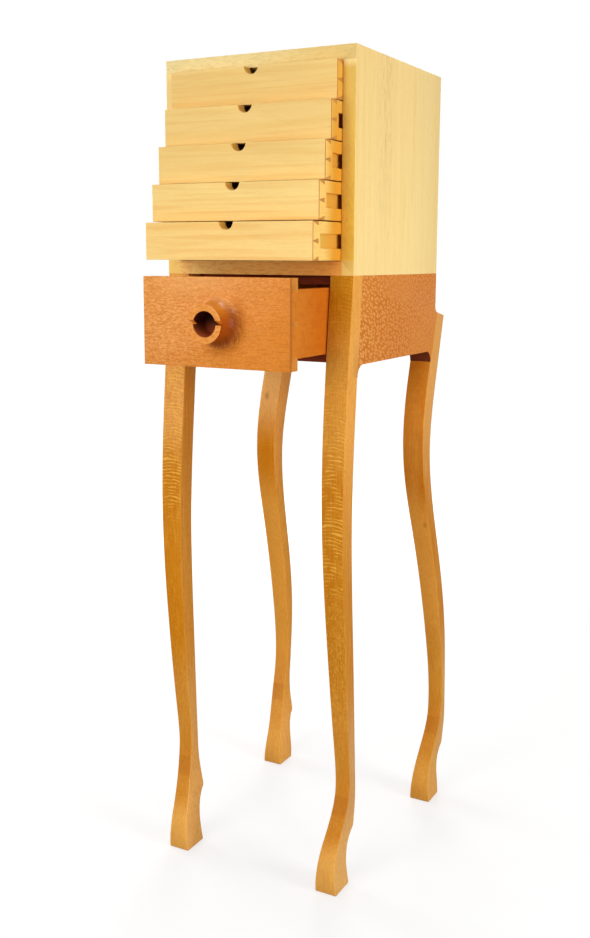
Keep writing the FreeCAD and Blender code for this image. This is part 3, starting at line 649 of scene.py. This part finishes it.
def rippled_timber(name, dark, light, line, right_tone, end_tone, stain=None):
    """Ripples between two colours, calmer up on the right, with a painted sheen and lines over them."""
    wood = Finish(name, sheen=0.08)
    ripple = cross_ripple(wood, RIPPLE_LEAN)
    slow = wood.noise((6, 24, 20), detail=2, warp=0.4)
    fine = wood.noise((330, 900, 900), detail=2)
    slanted = (wood.along(Z) - FIGURE_AND_SHEEN_HEIGHT) * FIGURE_AND_SHEEN_SLANT
    calm = (wood.along(X) + slanted).step(-0.1, 0.16)
    figure = 0.35 + (ripple.step(0.36, 0.64) - 0.35) * (1 - calm * 0.4)
    base = wood.mix(figure * 0.75 + slow.step(0.3, 0.7) * 0.25, dark, light)
    # Painted sheen: the upper left is paler, and the lower right deeper in tone.
    to_right = (wood.along(X) - slanted).step(-0.08, 0.16)
    base = wood.mix(to_right * 0.65, base, right_tone)
    wavy = wood.noise((40, 300, 480), detail=2, roughness=0.6, warp=0.8)
    base = wood.mix(wavy.step(0.5, 0.64) * 0.4, base, line)
    base = wood.mix(fine.step(0.5, 0.68) * 0.4, base, line)
    base = wood.mix(wood.facing(X).step(*SQUARE_ON) * 0.7, base, end_tone)
    if stain:
        base = stain(wood, base)
    return wood.show(base, MATT + fine * 0.12, ripple * 0.5 + fine * 0.3, 0.00014)


deep_front_timber = rippled_timber(
    "deep_front_timber", colour(206, 120, 44), colour(240, 168, 94), colour(186, 100, 28),
    colour(220, 128, 22), colour(206, 136, 54), stain=hairs_sheen_and_shadow_on_front)
# Painted shade: the rails' deep red-brown partly stands for the shadow they stand in under the case.
rail_timber_and_painted_shade = rippled_timber(
    "rail_timber_and_painted_shade", colour(130, 50, 22), colour(150, 66, 30), colour(98, 36, 14), colour(130, 52, 24),
    colour(98, 36, 14))
deep_side_timber = pale_timber(
    "deep_side_timber", Y, colour(204, 110, 18), colour(192, 98, 12), colour(180, 90, 14),
    colour(150, 76, 20), stain=deep_tones)
print("figured timbers made")

# %% [markdown]
# ## Working on a piece
# A board starts as a copy of its solid, so it fits as it should. The copy's loose triangles are merged and
# its flat faces made whole, and then the edges that a maker would run sandpaper along are rounded. Edges
# inside a joint stay crisp, or the joints would show as grooves.

# %% Copying and easing
MERGE_DISTANCE = 1e-5
FLAT_WITHIN = math.radians(0.5)
SHARP_FROM = math.radians(40)
NEAR = 1e-5


def only(piece):
    """Make one piece the only selected object, and the active one."""
    bpy.ops.object.select_all(action="DESELECT")
    piece.select_set(True)
    bpy.context.view_layer.objects.active = piece


def copy_of(node):
    """A piece with the shape of a solid, its double corners merged and its flat faces made whole."""
    piece = bpy.data.objects.new(f"{node}_wood", nodes[node].data.copy())
    bpy.context.scene.collection.objects.link(piece)
    only(piece)
    bpy.ops.object.mode_set(mode="EDIT")
    bpy.ops.mesh.select_all(action="SELECT")
    bpy.ops.mesh.remove_doubles(threshold=MERGE_DISTANCE)
    bpy.ops.mesh.dissolve_limited(angle_limit=FLAT_WITHIN)
    bpy.ops.object.mode_set(mode="OBJECT")
    return piece


def ease(piece, width, wanted, segments=2):
    """Round over the sharp edges whose two ends pass a test."""
    only(piece)
    bpy.ops.object.mode_set(mode="EDIT")
    bpy.ops.mesh.select_mode(type="EDGE")
    bpy.ops.mesh.select_all(action="DESELECT")
    mesh = bmesh.from_edit_mesh(piece.data)
    for edge in mesh.edges:
        sharp = len(edge.link_faces) == 2 and edge.calc_face_angle_signed() > SHARP_FROM
        edge.select_set(sharp and wanted(edge.verts[0].co, edge.verts[1].co))
    bmesh.update_edit_mesh(piece.data)
    bpy.ops.mesh.bevel(offset=width, segments=segments, affect="EDGES", clamp_overlap=True)
    bpy.ops.object.mode_set(mode="OBJECT")


def on_plane(axis, place):
    """A test for edges that lie in a plane across an axis."""
    return lambda start, end: abs(start[axis] - place) < NEAR and abs(end[axis] - place) < NEAR


def either(*tests):
    """A test that passes if one of several does."""
    return lambda start, end: any(test(start, end) for test in tests)


print(f"edges from {math.degrees(SHARP_FROM):.0f} degrees can be rounded")

# %% Finishing a piece
SMOOTH_UP_TO = math.radians(35)
# Outer faces: the axis across each, and which end of the box it is.
FRONT, REAR, UNDER, OVER, LEFT, RIGHT = (Y, 0), (Y, 1), (Z, 0), (Z, 1), (X, 0), (X, 1)


def settle(piece, node, material):
    """Give a finished piece its material, and let it stand for its solid on the solid's body."""
    piece.data.materials.clear()
    piece.data.materials.append(material)
    only(piece)
    bpy.ops.object.shade_smooth_by_angle(angle=SMOOTH_UP_TO)
    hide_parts(node)
    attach(piece, body_of[node])


def eased(node, width, material, *faces):
    """Take over a solid, round the edges of some of its outer faces, and finish it."""
    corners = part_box(node)
    piece = copy_of(node)
    ease(piece, width, either(*(on_plane(axis, corners[end][axis]) for axis, end in faces)))
    settle(piece, node, material)


def paint(node, material):
    """Finish a solid that stays as it is."""
    nodes[node].data.materials.clear()
    nodes[node].data.materials.append(material)


print(f"{len(body_of)} pieces to finish")

# %% [markdown]
# ## Case
# Four boards, mitred at their corners, with the grain running round them. Their front, rear and outer edges
# are rounded by half a millimetre, and the mitres are left to meet.

# %% Case boards
CASE_EDGE = 0.0005
eased("case_top", CASE_EDGE, case_level, FRONT, REAR, OVER)
eased("case_bottom", CASE_EDGE, case_level, FRONT, REAR, UNDER)
eased("case_right_side", CASE_EDGE, case_upright, FRONT, REAR, RIGHT)
eased("case_left_side", CASE_EDGE, case_upright, FRONT, REAR, LEFT)
paint("case_back", inner_timber_upright)
for node in ("right_drawer_runners", "left_drawer_runners"):
    paint(node, runner_timber)
print("case boards made")

# %% [markdown]
# ## Small drawers
# Each drawer has a front with a half-round finger notch, and two sides that are joined to it by half-blind
# dovetails. The pins are the end grain of the front, so the finish darkens by itself where the front's
# timber shows at the side. One function makes them all, and the deep drawer too.

# %% Small drawers
FRONT_EDGE = 0.0006
SIDE_EDGE = 0.0005


def drawer(name, front_edge, front_timber, side_timber):
    eased(f"{name}_front", front_edge, front_timber, FRONT)
    for hand in ("right", "left"):
        eased(f"{name}_{hand}_side", SIDE_EDGE, side_timber, UNDER, OVER)
    eased(f"{name}_back", SIDE_EDGE, inner_timber_level, OVER)
    paint(f"{name}_bottom", inner_timber)


drawer_count = sum(body.startswith("drawer_") for body in frame["bodies"])
for number in range(1, drawer_count + 1):
    drawer(f"drawer_{number}", FRONT_EDGE, drawer_front_timber, drawer_side_timber)
print(f"{drawer_count} small drawers made")

# %% [markdown]
# ## Deep drawer
# Its front is a wide board, taller than the box behind it, and only the edges of its face are rounded. The
# sides are let into it, and are eased along their upper and lower edges.

# %% Deep drawer
DEEP_EDGE = 0.0008
drawer("deep_drawer", DEEP_EDGE, deep_front_timber, deep_side_timber)
print("deep drawer made")

# %% [markdown]
# ## Knob
# The knob is turned: a waisted trumpet with a wide bore, and a notch filed across its end. A lathe makes it
# from a profile. Here a disc of the flare's size is extruded along the axis, and each new ring is scaled to
# the radius that the profile has there. The bore is the end face, inset and pushed back in, and a wedge
# that is cut away makes the notch.

# %% Knob profile
KNOB_SIDES = 96
KNOB_RINGS = 32
KNOB_LIP = 0.0006
KNOB_END_RADIUS = 0.027
KNOB_WAIST_ARC = 0.028
KNOB_FEATHER_RADIUS = 0.03
KNOB_FEATHER_POWER = 1.35
KNOB_BORE_RADIUS = 0.0175
KNOB_BORE_DEPTH = 0.03
KNOB_SPIGOT_RADIUS = 0.008
KNOB_END_EDGE = 0.0007
TOUCHING = 1e-6
knob_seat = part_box("deep_drawer_front")[0].y
knob_flare = (knob_high.x - knob_low.x) / 2
knob_length = knob_seat - knob_low.y


def waist_profile():
    """Radius and distance from the seat of each ring: a hollow arc from the flare to the end, with the
    flare feathered so that it runs out onto the drawer's front."""
    start = Vector((knob_flare, KNOB_LIP))
    end = Vector((KNOB_END_RADIUS, knob_length))
    chord = end - start
    outward = Vector((chord.y, -chord.x)).normalized()
    centre = (start + end) / 2 + outward * math.sqrt(KNOB_WAIST_ARC ** 2 - (chord.length / 2) ** 2)
    spokes = [(start - centre).lerp(end - centre, ring / KNOB_RINGS) for ring in range(KNOB_RINGS + 1)]
    arc = [centre + spoke.normalized() * KNOB_WAIST_ARC for spoke in spokes]
    aside = centre.x - KNOB_FEATHER_RADIUS
    rise = centre.y - math.sqrt(KNOB_WAIST_ARC ** 2 - aside ** 2) - KNOB_LIP
    reach = knob_flare - KNOB_FEATHER_RADIUS

    def feathered(radius):
        return KNOB_LIP + rise * (max(knob_flare - radius, 0) / reach) ** KNOB_FEATHER_POWER
    return [(radius, distance if distance > rise + KNOB_LIP else feathered(radius))
            for radius, distance in arc]


def push(distance, scale=1.0):
    """Extrude the selected face along the knob's axis, towards the front, and scale the new ring."""
    bpy.ops.mesh.extrude_region_move(TRANSFORM_OT_translate={"value": (0, -distance, 0)})
    bpy.ops.transform.resize(value=(scale, 1, scale), center_override=knob_middle)


print(f"knob {knob_length * 1000:.1f} mm long, its flare {knob_flare * 2000:.1f} mm across")

# %% Knob turning
bpy.ops.object.select_all(action="DESELECT")
bpy.ops.mesh.primitive_circle_add(
    vertices=KNOB_SIDES, radius=knob_flare, fill_type="NGON",
    location=(knob_middle.x, knob_seat, knob_middle.z), rotation=(math.pi / 2, 0, 0))
knob = bpy.context.object
knob.name = "deep_drawer_knob_wood"
bpy.ops.object.transform_apply(location=True, rotation=True, scale=True)
bpy.ops.object.mode_set(mode="EDIT")
bpy.ops.mesh.select_mode(type="FACE")
bpy.ops.mesh.select_all(action="SELECT")
ring_radius, ring_distance = knob_flare, 0.0
for radius, distance in waist_profile():
    push(distance - ring_distance, radius / ring_radius)
    ring_radius, ring_distance = radius, distance
bpy.ops.mesh.inset(thickness=KNOB_END_RADIUS - KNOB_BORE_RADIUS)
push(-KNOB_BORE_DEPTH)
mesh = bmesh.from_edit_mesh(knob.data)
for face in mesh.faces:
    face.select_set(all(abs(vertex.co.y - knob_seat) < TOUCHING for vertex in face.verts))
bmesh.update_edit_mesh(knob.data)
bpy.ops.mesh.inset(thickness=knob_flare - KNOB_SPIGOT_RADIUS)
push(knob_seat - knob_high.y)
bpy.ops.mesh.select_all(action="SELECT")
bpy.ops.mesh.normals_make_consistent(inside=False)
bpy.ops.object.mode_set(mode="OBJECT")
ease(knob, KNOB_END_EDGE, on_plane(Y, knob_low.y), segments=3)
print(f"knob turned, {len(knob.data.polygons)} faces")

# %% Knob notch
NOTCH_DEPTH = 0.01
NOTCH_RISE = 0.0055
NOTCH_DROP = 0.001
NOTCH_LEAD = 0.002
NOTCH_TIP_SHARE = 0.04
lead_share = 1 + NOTCH_LEAD / NOTCH_DEPTH
notch_height = (NOTCH_RISE + NOTCH_DROP) * lead_share
bpy.ops.object.select_all(action="DESELECT")
bpy.ops.mesh.primitive_cube_add(
    size=1, scale=(knob_flare * 2, NOTCH_DEPTH + NOTCH_LEAD, notch_height),
    location=(knob_middle.x, knob_low.y + (NOTCH_DEPTH - NOTCH_LEAD) / 2,
              knob_middle.z + (NOTCH_RISE - NOTCH_DROP) * lead_share / 2))
wedge = bpy.context.object
bpy.ops.object.transform_apply(location=True, rotation=False, scale=True)
bpy.ops.object.mode_set(mode="EDIT")
bpy.ops.mesh.select_mode(type="FACE")
mesh = bmesh.from_edit_mesh(wedge.data)
for face in mesh.faces:
    face.select_set(face.normal.y > 0.9)
bmesh.update_edit_mesh(wedge.data)
bpy.ops.transform.resize(value=(1, 1, NOTCH_TIP_SHARE), center_override=knob_middle)
bpy.ops.object.mode_set(mode="OBJECT")
only(knob)
notch = knob.modifiers.new("notch", "BOOLEAN")
notch.operation = "DIFFERENCE"
notch.object = wedge
bpy.ops.object.modifier_apply(modifier=notch.name)
bpy.data.objects.remove(wedge)
print(f"knob notched, {len(knob.data.polygons)} faces")

# %% [markdown]
# ## Finish of the knob
# The knob is turned from the front's timber and polished by use, so it alone has a coat that takes sparks
# from the lamps. Its end shows the ripples, its neck is darker and is painted darker still at its lower
# right, as painted shade, and the hairs run out over its flare. The upper facets of its notch are painted
# lighter, as painted light. The bore was left raw, and is painted darker towards its top, as painted shade.

# %% Knob timber
KNOB_COAT_ROUGHNESS = 0.22


def knob_timber(name):
    """Figured like the front on its end, darker down its neck, with streaks that run out over the flare."""
    wood = Finish(name, sheen=DRY)
    aside, above, radius = about_knob(wood)
    low_right_rays_and_shade = lower_right_rays_and_shade(aside, above)
    streak = knob_streaks(wood)
    to_end = wood.along(Y) - knob_low.y
    in_bore = 1 - radius.step(KNOB_BORE_RADIUS + 0.0002, KNOB_BORE_RADIUS + 0.0008)
    on_end = wood.facing(Y).step(0.9, 0.98) * (1 - to_end.step(0.001, 0.002))
    face = wood.mix(cross_ripple(wood).step(0.36, 0.64), colour(214, 130, 50), colour(232, 156, 78))
    # Painted shade: the neck is darker at its lower right.
    neck = wood.mix(low_right_rays_and_shade, colour(206, 124, 30), colour(160, 74, 14))
    neck = wood.mix(radius.step(0.029, 0.0355) * (1 - low_right_rays_and_shade * 0.5), neck, face)
    hair = streak.step(0.4, 0.6) * (0.04 + low_right_rays_and_shade * 0.72) * radius.step(0.0235, 0.028)
    base = wood.mix(on_end, wood.mix(hair, neck, HAIR_COLOUR), face)
    notch = wood.facing(Z).step(0.5, 0.8) * above.step(0, 0.001) * (1 - above.step(0.006, 0.007))
    # Painted light: the notch's upper facets are painted lighter, the right one most.
    cut = wood.mix(aside.step(0, 0.001), colour(214, 132, 30), colour(255, 152, 34))
    base = wood.mix(notch * (1 - to_end.step(0.0105, 0.0115)) * 0.85, base, cut)
    # Painted shade: the bore and its floor darken towards the top.
    bore_and_painted_shade = wood.mix(above.step(-0.018, 0.004), colour(206, 104, 52), colour(74, 28, 14))
    bore_end_and_painted_shade = wood.mix(above.step(-0.018, 0.008), colour(150, 66, 34), colour(40, 14, 8))
    bore_and_painted_shade = wood.mix(wood.facing(Y).step(0.8, 0.95), bore_and_painted_shade, bore_end_and_painted_shade)
    base = wood.mix(in_bore, base, bore_and_painted_shade)
    dull = (aside * 0.5 - above).step(-0.012, 0.008)
    coat = (1 - in_bore) * (1 - on_end) * (1 - dull * 0.9) * (1 - low_right_rays_and_shade * 0.4)
    wood.plug(wood.shader.inputs["Coat Weight"], coat)
    wood.plug(wood.shader.inputs["Coat Roughness"], KNOB_COAT_ROUGHNESS)
    return wood.show(base, 0.4 + in_bore * 0.4, streak, 0.00005)


settle(knob, "deep_drawer_knob", knob_timber("knob_timber"))
print("knob finished")

# %% [markdown]
# ## Stand
# The side panels are flush with the legs, so only their lower edge and their rear corner stand free to be
# rounded. The strips and dowels are out of sight and stay as their solids.

# %% Panels, rails and strips
PANEL_EDGE = 0.001
FILLET_RISE = 0.024


def panel_edges(node):
    """A test for the edges of a panel that can be touched: the lower ones and those of the rear corner."""
    low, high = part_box(node)
    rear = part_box("case_back")[1].y
    faces = either(on_plane(X, low.x), on_plane(X, high.x))

    def touched(start, end):
        middle = (start + end) / 2
        free = middle.z < low.z + FILLET_RISE or (middle.y > rear and middle.z < high.z - PANEL_EDGE)
        return faces(start, end) and free
    return touched


for node in ("right_side_panel", "left_side_panel"):
    panel = copy_of(node)
    ease(panel, PANEL_EDGE, panel_edges(node))
    settle(panel, node, panel_finish)
for node in ("top_front_rail", "bottom_front_rail", "back_apron"):
    eased(node, SIDE_EDGE, rail_timber_and_painted_shade, FRONT, REAR)
for node in ("right_kicker", "left_kicker", "right_runner", "left_runner", "leg_dowels"):
    paint(node, inner_timber)
print("stand's boards made")

# %% [markdown]
# ## Legs
# A leg is sawn to one outline from the side and to another from the front, so every level cut through it is
# a rectangle. It is made as a box with many rings, and each ring is set to the rectangle that the solid has
# at that height. That gives clean long faces, whose edges are then rounded. The top ring takes the solid's
# own corners, because the hind legs end in a slope.

# %% Level cuts through a leg
LEG_EDGE = 0.0014
FOOT_HEIGHT = 0.18
FOOT_RINGS = 60
SHANK_RINGS = 70
CROWN_SLOPE = 0.012
SHOULDER_RING = 0.002
SHOULDER_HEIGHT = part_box("right_side_panel")[0].z
LEVEL_WITHIN = 0.0005
UPRIGHT_FROM = 0.1


def level_cut(mesh, height):
    """The corners, low and high, of the rectangle where a mesh is cut at a height."""
    crossings = []
    for edge in mesh.edges:
        start, end = (mesh.vertices[index].co for index in edge.vertices)
        if start.z != end.z and (start.z - height) * (end.z - height) <= 0:
            crossings.append(start.lerp(end, (height - start.z) / (end.z - start.z)))
    xs = [point.x for point in crossings]
    ys = [point.y for point in crossings]
    return (min(xs), min(ys)), (max(xs), max(ys))


def ring_heights(top):
    """Close rings in the foot, wider ones up to the shoulder, and few above it."""
    foot = [FOOT_HEIGHT * step / FOOT_RINGS for step in range(FOOT_RINGS)]
    shank = [FOOT_HEIGHT + (SHOULDER_HEIGHT - FOOT_HEIGHT) * step / SHANK_RINGS
             for step in range(SHANK_RINGS + 1)]
    beside = [SHOULDER_HEIGHT - SHOULDER_RING, SHOULDER_HEIGHT, SHOULDER_HEIGHT + SHOULDER_RING]
    return foot + shank[:-1] + beside + [(SHOULDER_HEIGHT + top) / 2, top]


print(f"legs meet the panels from {SHOULDER_HEIGHT:.3f} m up")


# %% Legs
def ringed_box(node, ring_count):
    """A box of a node's size and place, divided by level rings."""
    low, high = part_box(node)
    bpy.ops.object.select_all(action="DESELECT")
    bpy.ops.mesh.primitive_cube_add(size=1, location=(low + high) / 2, scale=high - low)
    leg = bpy.context.object
    leg.name = f"{node}_wood"
    bpy.ops.object.transform_apply(location=True, rotation=False, scale=True)
    bpy.ops.object.mode_set(mode="EDIT")
    bpy.ops.mesh.select_mode(type="EDGE")
    mesh = bmesh.from_edit_mesh(leg.data)
    for edge in mesh.edges:
        edge.select_set(abs(edge.verts[0].co.z - edge.verts[1].co.z) > UPRIGHT_FROM)
    bmesh.update_edit_mesh(leg.data)
    bpy.ops.mesh.subdivide(number_cuts=ring_count - 2)
    bpy.ops.object.mode_set(mode="OBJECT")
    return leg


def shaped_leg(node, joint_behind):
    """A leg with its rings set to its solid's cuts, rounded wherever it isn't glued to a panel."""
    solid = nodes[node].data
    low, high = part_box(node)
    middle = (low + high) / 2
    crown = [vertex.co for vertex in solid.vertices if vertex.co.z > high.z - CROWN_SLOPE]
    crown_foot = min(point.z for point in crown)
    heights = ring_heights(crown_foot)
    cuts = [level_cut(solid, min(max(height, NEAR), crown_foot - NEAR)) for height in heights]
    leg = ringed_box(node, len(heights))
    for vertex in leg.data.vertices:
        ring = round((vertex.co.z - low.z) / (high.z - low.z) * (len(heights) - 1))
        right, behind = vertex.co.x > middle.x, vertex.co.y > middle.y
        vertex.co = (cuts[ring][right][X], cuts[ring][behind][Y], heights[ring])
        if ring == len(heights) - 1:
            vertex.co = min(crown, key=lambda point: (point.xy - vertex.co.xy).length)

    def free_edge(start, end):
        if max(start.z, end.z) < TOUCHING:
            return True
        if abs(start.z - end.z) < LEVEL_WITHIN:
            return False
        ring = min(range(len(heights)), key=lambda index: abs(heights[index] - start.z))
        behind = start.y > (cuts[ring][0][Y] + cuts[ring][1][Y]) / 2
        return behind != joint_behind or max(start.z, end.z) < SHOULDER_HEIGHT + TOUCHING

    ease(leg, LEG_EDGE, free_edge, segments=3)
    return leg


for hand in ("right", "left"):
    for place, joint_behind in (("front", True), ("rear", False)):
        node = f"{place}_{hand}_leg"
        settle(shaped_leg(node, joint_behind), node, leg_finishes[node])
print("legs made")

# %% [markdown]
# ## Fasteners
# The screws are of brass and sit out of sight, so their solids stay as they are. The metal has a faint
# cloud in its colour and a fine rub in its polish.


# %% Brass
def brass_finish(name):
    metal = Finish(name, sheen=0.5)
    rub = metal.noise((2500, 2500, 2500), detail=2)
    cloud = metal.noise((180, 180, 180), detail=2)
    metal.plug(metal.shader.inputs["Metallic"], 1.0)
    base = metal.mix(cloud, colour(206, 168, 92), colour(180, 138, 66))
    return metal.show(base, 0.28 + rub * 0.14, rub, 0.00002)


brass = brass_finish("screw_brass")
for node in ("runner_screws", "case_screws"):
    paint(node, brass)
print("fasteners finished")

# %% [markdown]
# ## Studio
# A pale floor and a white world stand for the plain background. Rays from the camera see both as white,
# but the light that they throw on the object is dimmer. A wide lamp stands low at the front, so that the
# edge under the lowest drawer is lit too, and one at the right lights the sides. Weaker ones show the top,
# the left side and the back. Three small lamps put sparks on the polished knob.

# %% Floor
FLOOR_SIZE = 40
GLOW_REACH = (1.4, 2.3)
GLOW_NEAR = (0.6, 0.6, 0.6, 1)
GLOW_FAR = (0.88, 0.88, 0.88, 1)
BLACK = (0, 0, 0, 1)


def seen_ray(wiring):
    """1 for a ray that shows the background: from the camera, off metal or through glass."""
    camera_ray = wiring.node("ShaderNodeLightPath", output="Is Camera Ray")
    glossy = wiring.node("ShaderNodeLightPath", output="Is Glossy Ray")
    clear = wiring.node("ShaderNodeLightPath", output="Is Transmission Ray")
    return (camera_ray + glossy + clear).step(0, 1)


def studio_floor(name):
    ground = Finish(name)
    seen = seen_ray(ground)
    speckle = ground.noise((300, 300, 300), detail=2)
    dim = ground.mix(speckle, colour(128, 128, 126), colour(134, 134, 132))
    ground.plug(ground.shader.inputs["Base Color"], ground.mix(seen, dim, colour(160, 160, 160)))
    ground.plug(ground.shader.inputs["Roughness"], 0.9)
    aside, back = ground.along(X), ground.along(Y)
    away = (aside * aside + back * back).root()
    glow = ground.mix(away.step(*GLOW_REACH), GLOW_NEAR, GLOW_FAR)
    ground.plug(ground.shader.inputs["Emission Color"], ground.mix(seen, BLACK, glow))
    ground.plug(ground.shader.inputs["Emission Strength"], 1.0)
    return ground.material


bpy.ops.object.select_all(action="DESELECT")
bpy.ops.mesh.primitive_plane_add(size=FLOOR_SIZE, location=(0, 0, 0))
floor = bpy.context.object
floor.name = "floor"
floor.data.materials.append(studio_floor("studio_floor"))
print("floor laid")

# %% World
WORLD_LIGHT = 0.36
world = bpy.data.worlds.new("studio")
bpy.context.scene.world = world
world.use_nodes = True
sky = Wiring(world.node_tree)
backdrop = world.node_tree.nodes["Background"]
sky.plug(backdrop.inputs["Color"], WHITE)
sky.plug(backdrop.inputs["Strength"], WORLD_LIGHT + seen_ray(sky) * (1 - WORLD_LIGHT))
print("world made")

# %% Lamps
SPARK_SIZE = 0.15


def lamp(name, place, target, width, height, power):
    light = bpy.data.lights.new(name, "AREA")
    light.shape = "RECTANGLE"
    light.size = width
    light.size_y = height
    light.energy = power
    holder = bpy.data.objects.new(name, light)
    bpy.context.scene.collection.objects.link(holder)
    holder.location = place
    holder.rotation_euler = (Vector(target) - Vector(place)).to_track_quat("-Z", "Y").to_euler()


lamp("front_lamp", (-0.3, -2.3, 1.0), (0, 0, 0.8), 1.4, 1.2, 34)
lamp("right_lamp", (2.3, -0.25, 0.9), (0, 0, 0.75), 0.8, 1.4, 34)
lamp("high_spark_lamp", (-0.3, -1.45, 2.45), knob_middle, SPARK_SIZE, SPARK_SIZE, 1.6)
lamp("right_spark_lamp", (1.3, -1.0, 2.25), knob_middle, SPARK_SIZE, SPARK_SIZE, 2.4)
lamp("left_spark_lamp", (-1.9, -0.75, 1.75), knob_middle, SPARK_SIZE, SPARK_SIZE, 2.0)
lamp("top_lamp", (-0.2, 0.4, 3.0), (0, 0.1, 1.2), 1.2, 1.2, 14)
lamp("rear_lamp", (-1.0, 2.4, 1.2), (0, 0, 0.8), 1.2, 1.2, 30)
lamp("left_lamp", (-2.3, 0.5, 1.0), (0, 0.1, 0.8), 1.0, 1.4, 24)
print("studio lit")
